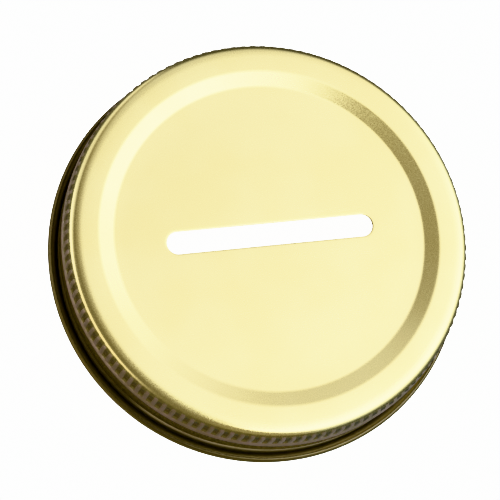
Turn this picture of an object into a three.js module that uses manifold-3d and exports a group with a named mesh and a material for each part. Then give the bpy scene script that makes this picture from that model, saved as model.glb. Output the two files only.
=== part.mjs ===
// Screw lid with a coin slot, for a wide-mouth storage jar.
//
// Two pieces: a shell pressed from one round of gold-lacquered tinplate, and a
// soft sealing ring that lies in the channel under the shell's outer land.
// Millimetres, +Z up, origin at the centre of the circle the lid stands on,
// coin slot along X.

import * as THREE from 'three';
import { mergeVertices } from 'three/addons/utils/BufferGeometryUtils.js';
import Module from 'manifold-3d';

// ---- driving dimensions -------------------------------------------------

const HEIGHT = 17.45;            // from the bead's underside to the outer land
const SHEET = 0.3;               // thickness of the tinplate
const COLUMNS = 64;              // facets round each turned piece

const SLOT_LENGTH = 44.5;        // coin slot, end to end
const SLOT_WIDTH = 4.7;
const SLOT_OFFSET = 0.45;        // how far the slot lies off centre, towards +Y

const PANEL_EDGE = 33.3;         // radius where the centre panel meets its step
const PANEL_DEPTH = 0.95;        // how far the panel lies below the outer land
const LAND_EDGE = 36.5;          // radius where the step meets the outer land
const STEP_ROUNDING = 2.5;

const WALL_RADIUS = 42.8;        // outside of the wall behind the ribs
const WALL_FOOT = 6.3;           // where the wall turns out to the lip
const CORNER_ROUNDING = 2.0;

const RIB_COUNT = 125;           // grip ribs
const RIB_HEIGHT = 0.4;          // how far a rib stands out of the wall
const RIB_TOP = 1.7;             // the ribs' ends, measured down from the land
const RIB_BOTTOM = 6.5;
const RIB_CREST_SHARE = 0.3;     // shares of the pitch that the flat crest and the
const RIB_ROOT_SHARE = 0.3;      // flat root take up; the two flanks have the rest
const RIB_ROOT_CLEARANCE = 0.02; // keeps the roots just clear of the wall
const RIB_OVERLAP = 0.08;        // how deep the ribs' band reaches into the wall

const LIP_RADIUS = 43.55;        // shoulder under the ribs, where the wall meets the skirt
const LIP_TOP = 7.1;
const LIP_BOTTOM = 7.6;

const SKIRT_RADIUS = 43.4;       // outside of the threaded skirt
const SKIRT_TOP = 8.3;
const SKIRT_BOTTOM = 15.1;

const THREAD_DEPTH = 1.0;        // how far the thread is pressed inwards
const THREAD_WIDTH = 2.4;
const THREAD_PITCH = 5.08;       // rise in one turn
const THREAD_TURNS = 0.72;
const THREAD_START_ANGLE = 215;  // degrees from +X, at the thread's lower end
const THREAD_START_DROP = 13.9;  // its centre there, measured down from the land
const THREAD_FADE_TURNS = 0.05;  // run-in and run-out
const THREAD_ROWS = 8;

const BEAD_CENTRE = 44.3;        // rolled bead at the open edge
const BEAD_RADIUS = 1.2;
const BEAD_START_ANGLE = 180;    // degrees round the bead, 270 at its underside
const BEAD_STEP_ANGLE = 36;      // a facet is level at 270, and a corner is at 360
const BEAD_STEPS = 7;            // the roll stops short of the skirt and leaves a groove

const RING_INNER = 37.2;         // sealing ring
const RING_OUTER = 41.2;
const RING_THICKNESS = 1.1;
const RING_CHAMFER = 0.25;
const RING_GAP = 0.3;            // clearance between the ring and the land above it

const PILOT_RADIUS = 1.0;        // hole at the centre, lost inside the coin slot
const MERGE_DISTANCE = 1e-4;     // vertices closer than this are one

const wasm = await Module();
wasm.setup();

// ---- helpers ------------------------------------------------------------

const radians = THREE.MathUtils.degToRad;

// A point of a profile: radius from the lid's axis, and height, from its drop
// below the outer land.
const at = (radius, drop) => new THREE.Vector2(radius, HEIGHT - drop);

// Arc of the given radius that rounds the corner between two straight lines.
function rounded(before, corner, after, radius, steps) {
  const toBefore = before.clone().sub(corner).normalize();
  const toAfter = after.clone().sub(corner).normalize();
  const halfAngle = Math.acos(THREE.MathUtils.clamp(toBefore.dot(toAfter), -1, 1)) / 2;
  const reach = radius / Math.tan(halfAngle);
  const middle = toBefore.clone().add(toAfter).normalize();
  const centre = corner.clone().addScaledVector(middle, radius / Math.sin(halfAngle));
  const first = corner.clone().addScaledVector(toBefore, reach).sub(centre);
  const last = corner.clone().addScaledVector(toAfter, reach).sub(centre);
  const sweep = Math.atan2(first.cross(last), first.dot(last));
  const arc = [];
  for (let step = 0; step <= steps; step += 1) {
    arc.push(first.clone().rotateAround(new THREE.Vector2(), (sweep * step) / steps).add(centre));
  }
  return arc;
}

// Line that runs beside a path, at a distance measured to the right of its
// direction of travel.
function beside(path, distance) {
  return path.map((point, index) => {
    const previous = path[Math.max(index - 1, 0)];
    const next = path[Math.min(index + 1, path.length - 1)];
    const before = point.clone().sub(previous).normalize();
    const after = next.clone().sub(point).normalize();
    const travel = before.clone().add(after).normalize();
    const bend = Math.max(travel.dot(index > 0 ? before : after), 0.5);
    const right = new THREE.Vector2(travel.y, -travel.x);
    return point.clone().addScaledVector(right, distance / bend);
  });
}

// Solid of a closed geometry, whose vertices are joined where they coincide.
function toSolid(geometry) {
  const bare = geometry.clone();
  bare.deleteAttribute('normal');
  bare.deleteAttribute('uv');
  const merged = mergeVertices(bare, MERGE_DISTANCE);
  const vertProperties = new Float32Array(merged.attributes.position.array);
  const triVerts = new Uint32Array(merged.index.array);
  return new wasm.Manifold(new wasm.Mesh({ numProp: 3, vertProperties, triVerts }));
}

function toGeometry(solid) {
  const mesh = solid.getMesh();
  const geometry = new THREE.BufferGeometry();
  geometry.setAttribute('position', new THREE.BufferAttribute(mesh.vertProperties, 3));
  geometry.setIndex(new THREE.BufferAttribute(mesh.triVerts, 1));
  geometry.computeVertexNormals();
  return geometry;
}

// Turns a closed profile of (radius, height) points about the Z axis.
function turned(profile) {
  const closed = [...profile, profile[0]];
  return new THREE.LatheGeometry(closed, COLUMNS).rotateX(Math.PI / 2);
}

// ---- shell --------------------------------------------------------------

// Middle line of the sheet, from the centre of the panel out over the land,
// down the wall and skirt, and round the bead to its raw edge.
function sheetLine() {
  const half = SHEET / 2;
  const panelCentre = at(PILOT_RADIUS, PANEL_DEPTH + half);
  const panelEdge = at(PANEL_EDGE, PANEL_DEPTH + half);
  const landEdge = at(LAND_EDGE, half);
  const corner = at(WALL_RADIUS - half, half);
  const wallFoot = at(WALL_RADIUS - half, WALL_FOOT);
  const line = [panelCentre];
  line.push(...rounded(panelCentre, panelEdge, landEdge, STEP_ROUNDING, 2));
  line.push(...rounded(panelEdge, landEdge, corner, STEP_ROUNDING, 2));
  line.push(...rounded(landEdge, corner, wallFoot, CORNER_ROUNDING - half, 4));
  line.push(wallFoot);
  line.push(at(LIP_RADIUS - half, LIP_TOP));
  line.push(at(LIP_RADIUS - half, LIP_BOTTOM));
  for (let row = 0; row <= THREAD_ROWS; row += 1) {
    const drop = THREE.MathUtils.lerp(SKIRT_TOP, SKIRT_BOTTOM, row / THREAD_ROWS);
    line.push(at(SKIRT_RADIUS - half, drop));
  }
  const toFoot = (BEAD_RADIUS - half) * Math.cos(radians(BEAD_STEP_ANGLE / 2)) + half;
  const beadCentre = new THREE.Vector2(BEAD_CENTRE, toFoot);
  for (let step = 0; step <= BEAD_STEPS; step += 1) {
    const turn = radians(BEAD_START_ANGLE + step * BEAD_STEP_ANGLE);
    const arm = new THREE.Vector2(BEAD_RADIUS - half, 0);
    line.push(arm.rotateAround(new THREE.Vector2(), turn).add(beadCentre));
  }
  return line;
}

// How far the thread moves the sheet inwards at an angle round the lid and a
// height on the skirt.
function threadPress(angle, height) {
  const start = radians(THREAD_START_ANGLE);
  const turns = THREE.MathUtils.euclideanModulo(angle - start, 2 * Math.PI) / (2 * Math.PI);
  const centre = HEIGHT - THREAD_START_DROP + THREAD_PITCH * turns;
  const across = Math.abs(height - centre) / (THREAD_WIDTH / 2);
  if (turns > THREAD_TURNS || across > 1) {
    return 0;
  }
  const fadeIn = THREE.MathUtils.smoothstep(turns, 0, THREAD_FADE_TURNS);
  const fadeOut = THREE.MathUtils.smoothstep(THREAD_TURNS - turns, 0, THREAD_FADE_TURNS);
  const crest = (1 + Math.cos(Math.PI * across)) / 2;
  return THREAD_DEPTH * crest * fadeIn * fadeOut;
}

// Presses the thread into the skirt of the turned shell.
function pressThread(geometry) {
  const positions = geometry.attributes.position;
  const skirtTop = HEIGHT - SKIRT_TOP;
  const skirtBottom = HEIGHT - SKIRT_BOTTOM;
  for (let index = 0; index < positions.count; index += 1) {
    const x = positions.getX(index);
    const y = positions.getY(index);
    const height = positions.getZ(index);
    const radius = Math.hypot(x, y);
    const onSkirt = radius < SKIRT_RADIUS + SHEET && height < skirtTop && height > skirtBottom;
    if (onSkirt) {
      const scale = 1 - threadPress(Math.atan2(y, x), height) / radius;
      positions.setXY(index, x * scale, y * scale);
    }
  }
}

// Band of grip ribs that stands out of the wall between the corner and the lip.
function gripRibs() {
  const pitch = (2 * Math.PI) / RIB_COUNT;
  const crest = WALL_RADIUS + RIB_HEIGHT;
  const root = WALL_RADIUS + RIB_ROOT_CLEARANCE;
  const flankShare = (1 - RIB_CREST_SHARE - RIB_ROOT_SHARE) / 2;
  const corners = [
    [root, 0],
    [root, RIB_ROOT_SHARE],
    [crest, RIB_ROOT_SHARE + flankShare],
    [crest, 1 - flankShare],
  ];
  const points = [];
  for (let rib = 0; rib < RIB_COUNT; rib += 1) {
    corners.forEach(([radius, share]) => {
      const corner = new THREE.Vector2(radius, 0);
      points.push(corner.rotateAround(new THREE.Vector2(), (rib + share) * pitch));
    });
  }
  const outline = new THREE.Shape(points);
  const bore = new THREE.Path();
  bore.absarc(0, 0, WALL_RADIUS - RIB_OVERLAP, 0, 2 * Math.PI, true);
  outline.holes.push(bore);
  const depth = RIB_BOTTOM - RIB_TOP;
  const curveSegments = COLUMNS / 2;
  const band = new THREE.ExtrudeGeometry(outline, { depth, bevelEnabled: false, curveSegments });
  return band.translate(0, 0, HEIGHT - RIB_BOTTOM);
}

// Cutter for the coin slot: a straight slot with full-round ends.
function slotCutter() {
  const reach = (SLOT_LENGTH - SLOT_WIDTH) / 2;
  const outline = new THREE.Shape();
  outline.absarc(reach, 0, SLOT_WIDTH / 2, -Math.PI / 2, Math.PI / 2, false);
  outline.absarc(-reach, 0, SLOT_WIDTH / 2, Math.PI / 2, (3 * Math.PI) / 2, false);
  outline.closePath();
  const depth = 4 * PANEL_DEPTH;
  const cutter = new THREE.ExtrudeGeometry(outline, { depth, bevelEnabled: false, curveSegments: 8 });
  return cutter.translate(0, SLOT_OFFSET, HEIGHT - PANEL_DEPTH - SHEET - depth / 2);
}

function lidShell() {
  const line = sheetLine();
  const rightSide = beside(line, SHEET / 2);
  const leftSide = beside(line, -SHEET / 2);
  const body = turned([...rightSide, ...leftSide.reverse()]);
  pressThread(body);
  const shell = toSolid(body).add(toSolid(gripRibs())).subtract(toSolid(slotCutter()));
  const material = new THREE.MeshStandardMaterial({ color: 0xe3d59a, metalness: 1.0, roughness: 0.34 });
  const mesh = new THREE.Mesh(toGeometry(shell), material);
  mesh.name = 'lid_shell';
  return mesh;
}

// ---- sealing ring -------------------------------------------------------

function sealingRing() {
  const top = HEIGHT - SHEET - RING_GAP;
  const bottom = top - RING_THICKNESS;
  const profile = [
    new THREE.Vector2(RING_INNER + RING_CHAMFER, bottom),
    new THREE.Vector2(RING_OUTER - RING_CHAMFER, bottom),
    new THREE.Vector2(RING_OUTER, bottom + RING_CHAMFER),
    new THREE.Vector2(RING_OUTER, top - RING_CHAMFER),
    new THREE.Vector2(RING_OUTER - RING_CHAMFER, top),
    new THREE.Vector2(RING_INNER + RING_CHAMFER, top),
    new THREE.Vector2(RING_INNER, top - RING_CHAMFER),
    new THREE.Vector2(RING_INNER, bottom + RING_CHAMFER),
  ];
  const material = new THREE.MeshStandardMaterial({ color: 0xe9e6dc, metalness: 0.0, roughness: 0.6 });
  const mesh = new THREE.Mesh(toGeometry(toSolid(turned(profile))), material);
  mesh.name = 'sealing_ring';
  return mesh;
}

// ---- the lid ------------------------------------------------------------

const lid = new THREE.Group();
lid.add(lidShell());
lid.add(sealingRing());

export default lid;
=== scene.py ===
"""Look of a gold tinplate jar lid with a coin slot, on a back-lit white table.

The lid's sheet is rebuilt finer than its solid: pressed ribs, a helical thread, an open rolled
bead and a punched slot, all in one closed skin. Metres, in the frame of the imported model.
"""

import math

import bpy
import numpy as np
from mathutils import Matrix, Vector


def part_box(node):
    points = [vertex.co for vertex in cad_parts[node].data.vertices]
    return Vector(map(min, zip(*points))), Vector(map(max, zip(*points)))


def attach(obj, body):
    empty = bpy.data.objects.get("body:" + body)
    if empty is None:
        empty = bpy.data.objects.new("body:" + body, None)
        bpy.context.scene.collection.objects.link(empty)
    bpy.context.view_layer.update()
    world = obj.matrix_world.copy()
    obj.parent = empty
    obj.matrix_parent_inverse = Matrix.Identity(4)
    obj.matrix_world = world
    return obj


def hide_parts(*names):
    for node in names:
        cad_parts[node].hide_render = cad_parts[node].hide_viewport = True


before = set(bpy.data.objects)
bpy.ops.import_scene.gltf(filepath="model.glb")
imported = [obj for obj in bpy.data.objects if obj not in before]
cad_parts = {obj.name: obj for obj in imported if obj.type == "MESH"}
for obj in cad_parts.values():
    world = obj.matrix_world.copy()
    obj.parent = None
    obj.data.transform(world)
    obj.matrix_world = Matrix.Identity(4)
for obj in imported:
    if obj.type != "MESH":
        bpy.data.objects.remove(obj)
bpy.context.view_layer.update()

MM = 0.001

# ---- sizes, in metres ----------------------------------------------------

SHELL_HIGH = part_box("lid_shell")[1]
RING_LOW, RING_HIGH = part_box("sealing_ring")
TOP = SHELL_HIGH[2]                # height of the flat outer land
SHEET = 0.3 * MM                   # thickness of the tinplate
HALF_SHEET = SHEET / 2

SLOT_LENGTH = 44.5 * MM
SLOT_WIDTH = 4.7 * MM
SLOT_OFFSET = 0.45 * MM            # how far the slot is punched off centre, towards +Y
SLOT_ROLL = ((0.0, 0.05 * MM), (0.06 * MM, 0.02 * MM),     # how the punch drew the slot's edge
             (0.15 * MM, 0.005 * MM), (0.40 * MM, 0.0))    # down: distance from the edge, depth

PANEL_EDGE = 33.3 * MM             # radius where the centre panel meets its step
PANEL_DEPTH = 0.95 * MM            # how far the panel lies below the land
LAND_EDGE = 36.5 * MM              # radius where the step meets the land
STEP_ROUNDING = 2.5 * MM

WALL_RADIUS = 42.8 * MM            # outside of the wall between the ribs
WALL_FOOT = 5.4 * MM               # how far below the land the wall turns out to the lip
CORNER_ROUNDING = 2.0 * MM
LAND_CROWN = 8.0 * MM              # softer rounding, by which the land rolls into the corner
CROWN_TILT = math.radians(10)

RIB_COUNT = 125
RIB_HEIGHT = 0.4 * MM
RIB_RISE = (1.1 * MM, 3.0 * MM)    # where the ribs' upper ends rise out of the corner
RIB_WEAR_AND_GLINT_FROM = (1.1 * MM, 1.7 * MM)   # where the rubbed part of a rib starts, which also carries a painted highlight
RIB_CREST_WAVE = (0.1, 0.75)       # heights of a wave that become a rib's foot and its crest

LIP_RADIUS = 43.55 * MM            # shoulder that the ribs run down to
LIP_CREST = 7.4 * MM               # how far its crest lies below the land

SKIRT_RADIUS = 43.4 * MM           # outside of the threaded skirt
SKIRT_TOP = 8.3 * MM               # its ends, measured down from the land
SKIRT_BOTTOM = 15.1 * MM

THREAD_DEPTH = 1.0 * MM            # how far the thread is pressed inwards
THREAD_WIDTH = 2.4 * MM
THREAD_PITCH = 5.08 * MM
THREAD_TURNS = 0.72
THREAD_START_ANGLE = math.radians(215)
THREAD_START_DROP = 13.9 * MM      # its centre there, measured down from the land
THREAD_FADE_TURNS = 0.05           # run-in and run-out

BEAD_CENTRE = 44.3 * MM            # radius to the middle of the rolled bead
BEAD_RADIUS = SHELL_HIGH[0] - BEAD_CENTRE
BEAD_START_ANGLE = math.radians(180)   # the roll runs from the skirt round its underside, which is
BEAD_END_ANGLE = math.radians(420)     # at 270 degrees, to the raw edge

COLUMNS = 6 * RIB_COUNT            # points round the shell in each row
PANEL_ROWS = (0.1, 0.4, 0.8)       # rows across the panel, as shares of the way out from the slot
STEP_ROWS = 4                      # rows along each further stretch of the sheet's section
CORNER_ROWS = 9
WALL_ROWS = 8
LIP_ROWS = 12
SKIRT_ROWS = 16
BEAD_ROWS = 12
RIM_STEPS = 4                      # facets across a cut edge of the sheet

RING_COLUMNS = 256
RING_WIDTH = 4.0 * MM
RING_ROUNDING = 0.4 * MM
RING_CLEARANCE = 0.02 * MM         # gap below the land's flat; under its roll the two overlap by 0.14 mm
RING_PRINT = 0.12 * MM             # how deep the jar's rim is printed in its face

# ---- heights of the marks on the lid, and light --------------------------

# the first pair gives the heights of the painted shade in the bead's groove
GROOVE_SHADE_HEIGHTS = (2.0 * MM, 3.2 * MM)    # a mark fades out, or in, between the two heights of its pair
DUST_FOOT = (1.5 * MM, 2.6 * MM)
DUST_TOP = (3.6 * MM, 5.6 * MM)
# the next two pairs give the heights where the painted shade between the ribs fades out at the top and in
# at the foot
RIB_GAP_SHADE_TOP = (TOP - 2.6 * MM, TOP - RIB_WEAR_AND_GLINT_FROM[1])
RIB_GAP_SHADE_FOOT = (TOP - WALL_FOOT - 0.6 * MM, TOP - WALL_FOOT)
LIP_WEAR_AND_GLINT_FOOT = (TOP - LIP_CREST - 0.4 * MM, TOP - LIP_CREST - 0.1 * MM)

TABLE_GLOW = 3.0                   # light that the table top and the room behind it give
ROOM_GLOW = 1.35                   # light that the metal mirrors
ROOM_STOPS = 4.1                   # how fast the room brightens towards the front right
WINDOW_GLOW = 0.45
UNDER_TABLE_GLOW = 0.18
WHITE = (1.0, 1.0, 1.0)
COOL_WHITE = (0.95, 1.0, 1.0)
FIGURE_TINT = (1.0, 0.93, 0.80)

# ---- colours -------------------------------------------------------------

GOLD = ((0.70, 0.63, 0.35), (0.72, 0.655, 0.38))
FLECKED_GOLD = (0.60, 0.52, 0.26)
# colour of the painted shade between the ribs
RIB_GAP_SHADE_GOLD = (0.30, 0.25, 0.12)
# worn lacquer, lightened and tinted lavender: also a painted highlight on the rib crests and lip
RUBBED_AND_GLINT_GOLD = (0.81, 0.68, 0.625)
DUST = (0.66, 0.60, 0.47)
# colour of the painted shade in the bead's groove
GROOVE_SHADE_GOLD = (0.17, 0.14, 0.08)
# bare steel darkened almost to black: painted shade on the cut edges
SHADED_STEEL = ((0.09, 0.078, 0.055), (0.17, 0.15, 0.11))
COMPOUND = ((0.78, 0.75, 0.66), (0.85, 0.83, 0.76))


# ---- small helpers -------------------------------------------------------

def smooth(x, low, high):
    """0 below low, 1 above high, and a soft rise between them."""
    t = np.clip((np.asarray(x, float) - low) / (high - low), 0.0, 1.0)
    return t * t * (3 - 2 * t)


def at(radius, drop):
    """Point of a section: radius from the axis, and height from its drop below the land."""
    return np.array([radius, TOP - drop])


def rounded(before, corner, after, radius, steps):
    """Arc of a radius that rounds the corner between two straight lines."""
    to_before = (before - corner) / np.linalg.norm(before - corner)
    to_after = (after - corner) / np.linalg.norm(after - corner)
    half = math.acos(np.clip(to_before @ to_after, -1, 1)) / 2
    middle = to_before + to_after
    centre = corner + middle / np.linalg.norm(middle) * radius / math.sin(half)
    first = corner + to_before * radius / math.tan(half) - centre
    last = corner + to_after * radius / math.tan(half) - centre
    turn = math.atan2(first[0] * last[1] - first[1] * last[0], first @ last)
    arc = []
    for angle in np.linspace(0, turn, steps + 1):
        c, s = math.cos(angle), math.sin(angle)
        arc.append(centre + np.array([c * first[0] - s * first[1], s * first[0] + c * first[1]]))
    return arc


def grid_faces(rows, columns, close_rows):
    """Quads between rows of points that each close on themselves."""
    last = rows if close_rows else rows - 1
    row = np.arange(last)[:, None]
    column = np.arange(columns)[None, :]
    next_row = (row + 1) % rows
    next_column = (column + 1) % columns
    corners = [row * columns + column, row * columns + next_column,
               next_row * columns + next_column, next_row * columns + column]
    return np.stack([np.broadcast_to(c, (last, columns)) for c in corners], -1).reshape(-1, 4)


def make_mesh(name, points, faces):
    mesh = bpy.data.meshes.new(name)
    mesh.from_pydata(points.reshape(-1, 3).tolist(), [], faces.tolist())
    mesh.validate()
    for polygon in mesh.polygons:
        polygon.use_smooth = True
    piece = bpy.data.objects.new(name, mesh)
    bpy.context.collection.objects.link(piece)
    return piece


# ---- shell ---------------------------------------------------------------

def slot_outline(margin):
    """One point for each column round the coin slot, evenly spaced, from its +X end."""
    radius = SLOT_WIDTH / 2 + margin
    reach = (SLOT_LENGTH - SLOT_WIDTH) / 2
    quarter = math.pi * radius / 2
    total = 4 * (quarter + reach)
    points = []
    for distance in np.arange(COLUMNS) / COLUMNS * total:
        side = 1 if distance < total / 2 else -1
        along = distance % (total / 2)
        if along < quarter:
            angle = along / radius
            x, y = reach + radius * math.cos(angle), radius * math.sin(angle)
        elif along < quarter + 2 * reach:
            x, y = reach - (along - quarter), radius
        else:
            angle = math.pi / 2 + (along - quarter - 2 * reach) / radius
            x, y = -reach + radius * math.cos(angle), radius * math.sin(angle)
        points.append((side * x, side * y + SLOT_OFFSET))
    return np.array(points)


def corner_line(steps):
    """Land's outer end: a soft roll, then a tighter one down to the wall."""
    bend = CORNER_ROUNDING - HALF_SHEET
    roll_width = LAND_CROWN * math.sin(CROWN_TILT) + bend * (1 - math.sin(CROWN_TILT))
    point = at(WALL_RADIUS - HALF_SHEET - roll_width, HALF_SHEET)
    line = [point]
    crown = np.linspace(0, CROWN_TILT, 4)
    tilts = [*crown, *np.linspace(CROWN_TILT, math.pi / 2, steps)[1:]]
    for before, after in zip(tilts, tilts[1:]):
        radius = LAND_CROWN if after <= CROWN_TILT else bend
        step = np.array([math.sin(after) - math.sin(before), math.cos(after) - math.cos(before)])
        point = point + radius * step
        line.append(point)
    return line


def lip_line(drop):
    """Radius of the sheet's middle where the wall passes over the lip to the skirt."""
    wall = WALL_RADIUS - HALF_SHEET
    crest = LIP_RADIUS - HALF_SHEET
    skirt = SKIRT_RADIUS - HALF_SHEET
    if drop < LIP_CREST:
        return wall + (crest - wall) * smooth(drop, WALL_FOOT, LIP_CREST)
    return crest + (skirt - crest) * smooth(drop, LIP_CREST, SKIRT_TOP)


def sheet_line():
    """Middle line of the sheet, from the panel's edge out and down to the bead's raw edge."""
    panel = at(0, PANEL_DEPTH + HALF_SHEET)
    panel_edge = at(PANEL_EDGE, PANEL_DEPTH + HALF_SHEET)
    land_edge = at(LAND_EDGE, HALF_SHEET)
    corner = at(WALL_RADIUS - HALF_SHEET, HALF_SHEET)
    line = rounded(panel, panel_edge, land_edge, STEP_ROUNDING, STEP_ROWS)
    line += rounded(panel_edge, land_edge, corner, STEP_ROUNDING, STEP_ROWS)
    line += corner_line(CORNER_ROWS)
    wall_drops = np.linspace(TOP - line[-1][1], WALL_FOOT, WALL_ROWS)[1:]
    lip_drops = np.linspace(WALL_FOOT, SKIRT_TOP, LIP_ROWS)[1:]
    skirt_drops = np.linspace(SKIRT_TOP, SKIRT_BOTTOM, SKIRT_ROWS)[1:]
    line += [at(WALL_RADIUS - HALF_SHEET, drop) for drop in wall_drops]
    line += [at(lip_line(drop), drop) for drop in lip_drops]
    line += [at(SKIRT_RADIUS - HALF_SHEET, drop) for drop in skirt_drops]
    reach = BEAD_RADIUS - HALF_SHEET
    for turn in np.linspace(BEAD_START_ANGLE, BEAD_END_ANGLE, BEAD_ROWS):
        line.append(np.array([BEAD_CENTRE + reach * math.cos(turn), BEAD_RADIUS + reach * math.sin(turn)]))
    return np.array(line)


def ribbed(angles, radius, drop):
    """Radius round the wall or the lip, where the ribs stand out of it."""
    wave = smooth((1 + np.cos(angles * RIB_COUNT)) / 2, *RIB_CREST_WAVE)
    push = RIB_HEIGHT * wave * smooth(drop, *RIB_RISE)
    if drop < WALL_FOOT:
        return radius + push
    return np.maximum(radius, WALL_RADIUS - HALF_SHEET + push)


def thread_depth(angle, height):
    """How far the thread presses the skirt in, round the lid and along the skirt."""
    turns = ((angle - THREAD_START_ANGLE) / (2 * math.pi)) % 1.0
    centre = TOP - THREAD_START_DROP + THREAD_PITCH * turns
    across = np.clip(np.abs(height - centre) / (THREAD_WIDTH / 2), 0, 1)
    crest = (1 + np.cos(math.pi * across)) / 2
    fade_in = smooth(turns, 0, THREAD_FADE_TURNS)
    fade_out = smooth(THREAD_TURNS - turns, 0, THREAD_FADE_TURNS)
    return THREAD_DEPTH * crest * fade_in * fade_out


def sheet_middle():
    """Middle surface of the sheet as rows of points, from the slot's edge to the raw edge."""
    angles = np.arange(COLUMNS) / COLUMNS * 2 * math.pi
    around = np.stack([np.cos(angles), np.sin(angles)], -1)
    line = sheet_line()
    panel_height = line[0][1]
    rows = []
    for margin, sunk in SLOT_ROLL:
        heights = np.full(COLUMNS, panel_height - sunk)
        rows.append(np.column_stack([slot_outline(HALF_SHEET + margin), heights]))
    slot = rows[-1][:, :2]
    panel_rim = around * line[0][0]
    for share in PANEL_ROWS:
        flat = slot + (panel_rim - slot) * share
        rows.append(np.column_stack([flat, np.full(COLUMNS, panel_height)]))
    for radius, height in line:
        heights = np.full(COLUMNS, height)
        outward = np.full(COLUMNS, radius)
        drop = TOP - height
        if RIB_RISE[0] < drop < LIP_CREST:
            outward = ribbed(angles, outward, drop)
        if SKIRT_TOP < drop < SKIRT_BOTTOM:
            outward = outward - thread_depth(angles, heights)
        rows.append(np.column_stack([around * outward[:, None], heights]))
    return np.array(rows)


def surface_normals(rows):
    """Unit normals of the middle surface, up on the panel and outward on the wall."""
    down = np.gradient(rows, axis=0)
    across = np.roll(rows, -1, axis=1) - np.roll(rows, 1, axis=1)
    normals = np.cross(down, across)
    return normals / np.linalg.norm(normals, axis=-1, keepdims=True)


def edge_rows(edge, normals, outward):
    """Rows that round a cut edge of the sheet, from its upper skin to its lower one."""
    rows = []
    for angle in np.linspace(0, math.pi, RIM_STEPS + 1)[1:-1]:
        rows.append(edge + HALF_SHEET * (math.cos(angle) * normals + math.sin(angle) * outward))
    return np.array(rows)


def build_shell():
    middle = sheet_middle()
    normals = surface_normals(middle)
    outer = middle + HALF_SHEET * normals
    inner = middle - HALF_SHEET * normals
    to_raw_edge = middle[-1] - middle[-2]
    to_raw_edge /= np.linalg.norm(to_raw_edge, axis=-1, keepdims=True)
    to_slot = middle[0] - middle[1]
    to_slot /= np.linalg.norm(to_slot, axis=-1, keepdims=True)
    raw_edge = edge_rows(middle[-1], normals[-1], to_raw_edge)
    slot_edge = edge_rows(middle[0], -normals[0], to_slot)
    last = len(middle) - 1
    hidden_side = inner[[last, *range(last - 1, 0, -2), 0]]
    rows = np.concatenate([outer, raw_edge, hidden_side, slot_edge])
    shell = make_mesh("tinplate_shell", rows, grid_faces(len(rows), COLUMNS, close_rows=True)[:, ::-1])
    shell.data.materials.append(gold_tinplate())
    shell.data.materials.append(bare_steel())
    raw_from = last
    slot_from = len(outer) + len(raw_edge) + len(hidden_side) - 1
    for polygon in shell.data.polygons:
        row = polygon.index // COLUMNS
        on_raw_edge = raw_from <= row < raw_from + RIM_STEPS
        on_slot_edge = slot_from <= row < slot_from + RIM_STEPS
        polygon.material_index = 1 if on_raw_edge or on_slot_edge else 0
    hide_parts("lid_shell")
    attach(shell, "root")


# ---- sealing ring --------------------------------------------------------

def build_ring():
    """Flowed-in sealing compound, with the rim of a jar lightly printed in its face."""
    low = RING_LOW[2]
    high = TOP - SHEET - RING_CLEARANCE
    outer_radius = RING_HIGH[0]
    inner_radius = outer_radius - RING_WIDTH
    corners = [np.array([inner_radius, high]), np.array([inner_radius, low]),
               np.array([outer_radius, low]), np.array([outer_radius, high])]
    section = [corners[0]]
    section += rounded(corners[0], corners[1], corners[2], RING_ROUNDING, 5)
    for share in np.linspace(0.25, 0.75, 7):
        radius = inner_radius + (outer_radius - inner_radius) * share
        print_depth = RING_PRINT * math.cos(math.pi * (share - 0.5) / 0.6) ** 2
        section.append(np.array([radius, low + print_depth]))
    section += rounded(corners[1], corners[2], corners[3], RING_ROUNDING, 5)
    section.append(corners[3])
    angles = np.arange(RING_COLUMNS) / RING_COLUMNS * 2 * math.pi
    rows = []
    for radius, height in section:
        rows.append(np.column_stack([radius * np.cos(angles), radius * np.sin(angles),
                                     np.full(RING_COLUMNS, height)]))
    rows = np.array(rows)
    ring = make_mesh("seal_compound", rows, grid_faces(len(rows), RING_COLUMNS, close_rows=True))
    ring.data.materials.append(sealing_compound())
    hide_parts("sealing_ring")
    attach(ring, "root")


# ---- materials -----------------------------------------------------------

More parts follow.
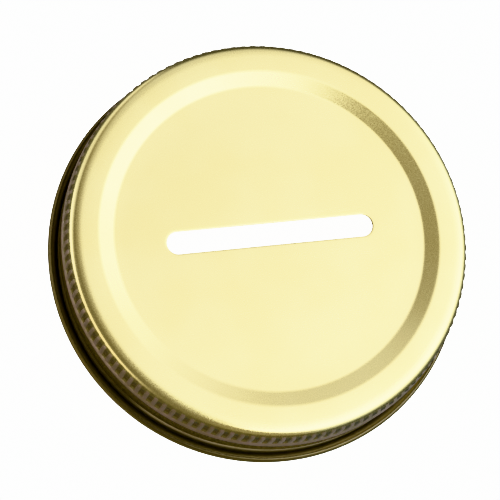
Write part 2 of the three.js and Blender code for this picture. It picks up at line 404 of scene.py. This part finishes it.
class Nodes:
    """Short way to build the node tree of a material, or of the world."""

    def __init__(self, owner, shader, place):
        owner.use_nodes = True
        self.owner = owner
        self.tree = owner.node_tree
        self.shader = self.tree.nodes[shader]
        self.place = self.add("ShaderNodeTexCoord").outputs[place]

    def add(self, kind, **settings):
        node = self.tree.nodes.new(kind)
        for key, value in settings.items():
            setattr(node, key, value)
        return node

    def link(self, output, socket):
        self.tree.links.new(output, socket)

    def stretched(self, scale):
        node = self.add("ShaderNodeMapping")
        node.inputs["Scale"].default_value = scale
        self.link(self.place, node.inputs["Vector"])
        return node.outputs["Vector"]

    def noise(self, size, detail=3.0, rough=0.5, stretch=(1, 1, 1)):
        """Noise whose blotches are about size metres across."""
        node = self.add("ShaderNodeTexNoise")
        node.inputs["Scale"].default_value = 1 / size
        node.inputs["Detail"].default_value = detail
        node.inputs["Roughness"].default_value = rough
        self.link(self.stretched(stretch), node.inputs["Vector"])
        return node.outputs["Fac"]

    def ranged(self, value, low_in, high_in, low_out, high_out):
        node = self.add("ShaderNodeMapRange", interpolation_type="SMOOTHSTEP")
        for name, number in (("From Min", low_in), ("From Max", high_in),
                             ("To Min", low_out), ("To Max", high_out)):
            node.inputs[name].default_value = number
        self.link(value, node.inputs["Value"])
        return node.outputs["Result"]

    def maths(self, operation, a, b):
        node = self.add("ShaderNodeMath", operation=operation)
        for socket, value in zip(node.inputs, (a, b)):
            if isinstance(value, (int, float)):
                socket.default_value = value
            else:
                self.link(value, socket)
        return node.outputs["Value"]

    def plus(self, a, b):
        return self.maths("ADD", a, b)

    def minus(self, a, b):
        return self.maths("SUBTRACT", a, b)

    def times(self, a, b):
        return self.maths("MULTIPLY", a, b)

    def larger(self, a, b):
        return self.maths("MAXIMUM", a, b)

    def smaller(self, a, b):
        return self.maths("MINIMUM", a, b)

    def mixed(self, share, first, second):
        """Number that goes from first to second as share goes from 0 to 1."""
        node = self.add("ShaderNodeMix", data_type="FLOAT")
        for socket, value in zip(node.inputs, (share, None, first, second)):
            if isinstance(value, (int, float)):
                socket.default_value = value
            elif value is not None:
                self.link(value, socket)
        return node.outputs[0]

    def blend(self, share, first, second):
        node = self.add("ShaderNodeMix", data_type="RGBA")
        self.link(share, node.inputs["Factor"])
        for name, colour in (("A", first), ("B", second)):
            socket = [s for s in node.inputs if s.name == name and s.type == "RGBA"][0]
            if isinstance(colour, tuple):
                socket.default_value = (*colour, 1.0)
            else:
                self.link(colour, socket)
        return [s for s in node.outputs if s.type == "RGBA"][0]

    def bump(self, height, depth, strength):
        node = self.add("ShaderNodeBump")
        node.inputs["Distance"].default_value = depth
        node.inputs["Strength"].default_value = strength
        self.link(height, node.inputs["Height"])
        self.link(node.outputs["Normal"], self.shader.inputs["Normal"])

    def set(self, **values):
        for name, value in values.items():
            self.shader.inputs[name.replace("_", " ")].default_value = value


def material_nodes(name):
    return Nodes(bpy.data.materials.new(name), "Principled BSDF", "Object")


def place_on_lid(n):
    """Distance from the lid's axis, angle round it, and height, of the point that is shaded."""
    split = n.add("ShaderNodeSeparateXYZ")
    n.link(n.place, split.inputs["Vector"])
    across, along, height = (split.outputs[axis] for axis in "XYZ")
    squares = n.plus(n.times(across, across), n.times(along, along))
    return n.maths("POWER", squares, 0.5), n.maths("ARCTAN2", along, across), height


def bead_groove_shade(n, radius, height):
    """1 in the groove between the skirt and the rolled bead and across most of the bead: painted shade
    there.
    """
    bead_outside = BEAD_CENTRE + BEAD_RADIUS * 0.7
    outside = n.ranged(radius, SKIRT_RADIUS - 0.1 * MM, SKIRT_RADIUS + 0.1 * MM, 0, 1)
    inside = n.ranged(radius, bead_outside, bead_outside + 0.3 * MM, 1, 0)
    low = n.ranged(height, *GROOVE_SHADE_HEIGHTS, 1, 0)
    return n.times(n.times(outside, inside), low)


def skirt_dust(n, radius, height):
    """1 along the foot of the skirt, just above the bead, under a thin film of dust."""
    on_skirt = n.ranged(radius, SKIRT_RADIUS + 0.1 * MM, SKIRT_RADIUS + 0.3 * MM, 1, 0)
    outside = n.ranged(radius, SKIRT_RADIUS - 1.2 * MM, SKIRT_RADIUS - 0.9 * MM, 0, 1)
    above_bead = n.ranged(height, *DUST_FOOT, 0, 1)
    below_middle = n.ranged(height, *DUST_TOP, 1, 0)
    return n.times(n.times(on_skirt, outside), n.times(above_bead, below_middle))


def rib_wave(n, angle):
    """1 on the crest of each rib and -1 midway between two."""
    return n.maths("COSINE", n.times(angle, RIB_COUNT), 0)


def outside_of_wall(n, radius):
    """1 on the outside of the wall, 0 on its inside."""
    return n.ranged(radius, WALL_RADIUS - 0.4 * MM, WALL_RADIUS - 0.1 * MM, 0, 1)


def grip_wear_and_glint(n, radius, angle, height):
    """1 on the crests of the ribs and on the lip, where hands have rubbed the lacquer thin; its colour
    there is also a painted highlight.
    """
    below_top = n.ranged(height, TOP - RIB_WEAR_AND_GLINT_FROM[1], TOP - RIB_WEAR_AND_GLINT_FROM[0], 1, 0)
    crests = n.times(n.ranged(rib_wave(n, angle), 0.0, 0.6, 0, 1), below_top)
    lip = n.ranged(radius, WALL_RADIUS + 0.25 * MM, WALL_RADIUS + 0.45 * MM, 0, 1)
    grip = n.larger(n.times(crests, outside_of_wall(n, radius)), lip)
    return n.times(grip, n.ranged(height, *LIP_WEAR_AND_GLINT_FOOT, 0, 1))


def rib_gap_shade(n, radius, angle, height):
    """Above 0 between two ribs, where shade is painted into the gaps."""
    between = n.times(n.ranged(rib_wave(n, angle), -0.3, 0.2, 0.75, 0), outside_of_wall(n, radius))
    below_top = n.ranged(height, *RIB_GAP_SHADE_TOP, 1, 0)
    above_lip = n.ranged(height, *RIB_GAP_SHADE_FOOT, 0, 1)
    return n.times(between, n.times(below_top, above_lip))


def gold_tinplate():
    """Gold lacquer over bright tinplate: fine satin grain, faint clouds and handling marks, with painted
    shade between the ribs and in the bead's groove, and a painted highlight on the rubbed rib crests and
    lip.
    """
    n = material_nodes("gold_tinplate")
    n.set(Metallic=1.0, Coat_Weight=0.2, Coat_Roughness=0.12)
    clouds = n.noise(18 * MM, detail=2.0)
    grain = n.noise(0.22 * MM, detail=2.0, stretch=(0.6, 1, 1))
    speckle = n.noise(0.5 * MM, detail=4.0, rough=0.7)
    scuffs = n.noise(2.5 * MM, detail=5.0, rough=0.75, stretch=(0.25, 1, 1))
    tone = n.blend(n.ranged(clouds, 0.35, 0.65, 0, 1), *GOLD)
    flecked = n.blend(n.ranged(speckle, 0.62, 0.78, 0, 0.35), tone, FLECKED_GOLD)
    radius, angle, height = place_on_lid(n)
    rubbed_and_glint = grip_wear_and_glint(n, radius, angle, height)
    worn_and_glint = n.times(rubbed_and_glint, n.ranged(scuffs, 0.35, 0.6, 1.0, 0.7))
    dusty = n.times(skirt_dust(n, radius, height), n.ranged(scuffs, 0.3, 0.6, 0.6, 0.9))
    filmed = n.blend(dusty, flecked, DUST)
    # painted shade in the groove between the skirt and the bead, and on the bead
    groove_shade = bead_groove_shade(n, radius, height)
    groove_shaded = n.blend(groove_shade, filmed, GROOVE_SHADE_GOLD)
    # painted shade between the ribs
    rib_gap_shaded = n.blend(rib_gap_shade(n, radius, angle, height), groove_shaded, RIB_GAP_SHADE_GOLD)
    # rubbed rib crests and lip: worn lacquer and a painted highlight
    n.link(n.blend(worn_and_glint, rib_gap_shaded, RUBBED_AND_GLINT_GOLD), n.shader.inputs["Base Color"])
    satin = n.ranged(grain, 0.3, 0.7, 0.20, 0.28)
    handled = n.plus(satin, n.ranged(scuffs, 0.60, 0.72, 0, 0.07))
    dulled = n.mixed(groove_shade, n.mixed(dusty, handled, 0.5), 0.5)
    n.link(n.mixed(worn_and_glint, dulled, 0.42), n.shader.inputs["Roughness"])
    n.bump(n.plus(grain, n.times(clouds, 4.0)), 0.004 * MM, 0.28)
    return n.owner


def bare_steel():
    """Cut edges of the sheet, where the lacquer ends and the steel is bare, coloured almost black as
    painted shade along the edges.
    """
    n = material_nodes("bare_steel")
    n.set(Metallic=1.0)
    streaks = n.noise(0.3 * MM, detail=3.0, stretch=(1, 1, 0.2))
    colour = n.blend(n.ranged(streaks, 0.3, 0.7, 0, 1), *SHADED_STEEL)
    n.link(colour, n.shader.inputs["Base Color"])
    n.link(n.ranged(streaks, 0.3, 0.7, 0.35, 0.5), n.shader.inputs["Roughness"])
    n.bump(streaks, 0.02 * MM, 0.4)
    return n.owner


def sealing_compound():
    """Soft off-white compound, slightly uneven where it flowed in."""
    n = material_nodes("sealing_compound")
    n.set(Specular_IOR_Level=0.35, Subsurface_Weight=0.15, Subsurface_Scale=1.5 * MM)
    flow = n.noise(5 * MM, detail=3.0)
    pores = n.noise(0.4 * MM, detail=3.0, rough=0.6)
    colour = n.blend(n.ranged(flow, 0.35, 0.65, 0, 1), *COMPOUND)
    n.link(colour, n.shader.inputs["Base Color"])
    n.link(n.ranged(pores, 0.3, 0.7, 0.45, 0.62), n.shader.inputs["Roughness"])
    n.bump(n.plus(pores, n.times(flow, 3.0)), 0.03 * MM, 0.5)
    return n.owner


# ---- table, light and camera ---------------------------------------------

def build_table():
    """Back-lit white table top, which the metal doesn't mirror."""
    half = 1.5
    points = np.array([(-half, -half, 0), (half, -half, 0), (half, half, 0), (-half, half, 0)])
    table = make_mesh("table", points, np.array([[0, 1, 2, 3]]))
    table.location.z = -0.02 * MM
    table.visible_glossy = False
    n = material_nodes("light_table")
    n.set(Base_Color=(0.8, 0.8, 0.8, 1), Roughness=0.9, Specular_IOR_Level=0.0,
          Emission_Color=(1, 1, 1, 1), Emission_Strength=TABLE_GLOW)
    table.data.materials.append(n.owner)


def room_light(n, to_front_right, to_back_right, height):
    """White room, brighter by stops towards the front right and dimmer towards its skyline."""
    stops = n.times(n.larger(n.smaller(to_front_right, 0.4), -0.2), ROOM_STOPS)
    to_right = n.ranged(n.larger(to_back_right, to_front_right), 0.0, 0.5, 0, 1)
    skyline = n.mixed(to_right, 1.0, n.ranged(height, 0.15, 0.75, 0.16, 1.0))
    return n.times(n.maths("POWER", 2.0, stops), skyline)


def left_light(n, across, height, window):
    """Dark figure, with a bright strip of room low behind it and a window at the back."""
    figure = n.ranged(across, -0.5, -0.12, 0.20, 0.30)
    strip_height = n.ranged(height, 0.2, 0.4, 0.9, 0.0)
    low_strip = n.times(strip_height, n.ranged(across, -0.92, -0.68, 1.0, 0.0))
    return n.plus(n.plus(figure, low_strip), n.times(window, WINDOW_GLOW))


def room_share(n, across, along, height):
    """0 on the figure's side and 1 on the room's, with a line between them that leans."""
    low = n.ranged(height, 0.4, 0.8, 0.35, 0.0)
    low_front = n.times(low, n.ranged(along, -0.8, -0.5, 1.0, 0.0))
    front = n.plus(low_front, n.ranged(along, -0.1, 0.3, 0.09, 0.0))
    lean = n.minus(n.ranged(height, 0.75, 0.97, 0.1, 0.0), front)
    return n.ranged(n.plus(across, lean), -0.08, 0.0, 0, 1)


def build_light():
    """Soft light by direction from the lid, in which the metal mirrors itself.

    Directions are unit vectors: across is +X, along is +Y, and height is +Z. Below the table it is
    dark. The camera itself sees plain white.
    """
    world = bpy.data.worlds.new("studio")
    bpy.context.scene.world = world
    n = Nodes(world, "Background", "Generated")
    split = n.add("ShaderNodeSeparateXYZ")
    n.link(n.place, split.inputs["Vector"])
    across, along, height = (split.outputs[axis] for axis in "XYZ")
    to_front_right = n.times(n.minus(across, along), math.sqrt(0.5))
    to_back_right = n.times(n.plus(across, along), math.sqrt(0.5))
    window = n.ranged(to_front_right, -0.85, -0.68, 1, 0)
    in_room = room_share(n, across, along, height)
    room = room_light(n, to_front_right, to_back_right, height)
    left = left_light(n, across, height, window)
    above = n.times(n.mixed(in_room, left, room), ROOM_GLOW)
    mirrored = n.mixed(n.ranged(height, -0.2, -0.05, 0, 1), UNDER_TABLE_GLOW, above)
    room_tint = n.blend(n.ranged(to_front_right, -0.06, 0.14, 0, 1), WHITE, COOL_WHITE)
    tint = n.blend(n.larger(in_room, window), FIGURE_TINT, room_tint)
    seen = n.add("ShaderNodeLightPath").outputs["Is Camera Ray"]
    n.link(n.blend(seen, tint, WHITE), n.shader.inputs["Color"])
    n.link(n.mixed(seen, mirrored, TABLE_GLOW), n.shader.inputs["Strength"])


def build_camera():
    """Long lens, 71 degrees above the table, turned so that the coin slot lies nearly level."""
    lens, distance = 144.0, 0.4193
    from_vertical = math.radians(18.85)
    bearing = math.radians(226.67)
    roll = math.radians(36.15)
    lid_right, lid_up = 4.63 * MM, 3.20 * MM
    forward = Vector((-math.cos(bearing) * math.sin(from_vertical),
                      -math.sin(bearing) * math.sin(from_vertical), -math.cos(from_vertical)))
    level_right = forward.cross(Vector((0, 0, 1))).normalized()
    level_up = level_right.cross(forward)
    right = level_right * math.cos(roll) + level_up * math.sin(roll)
    up = level_up * math.cos(roll) - level_right * math.sin(roll)
    place = Vector((0, 0, TOP)) - forward * distance - right * lid_right - up * lid_up
    camera = bpy.data.objects.new("camera", bpy.data.cameras.new("camera"))
    bpy.context.collection.objects.link(camera)
    turned = Matrix((right, up, -forward)).transposed().to_4x4()
    camera.matrix_world = Matrix.Translation(place) @ turned
    camera.data.lens = lens
    camera.data.sensor_width = 36.0
    camera.data.clip_start = 0.01
    bpy.context.scene.camera = camera


def set_tone():
    view = bpy.context.scene.view_settings
    view.view_transform = "Khronos PBR Neutral"
    view.look = "High Contrast"


build_camera()
build_shell()
build_ring()
build_table()
build_light()
set_tone()
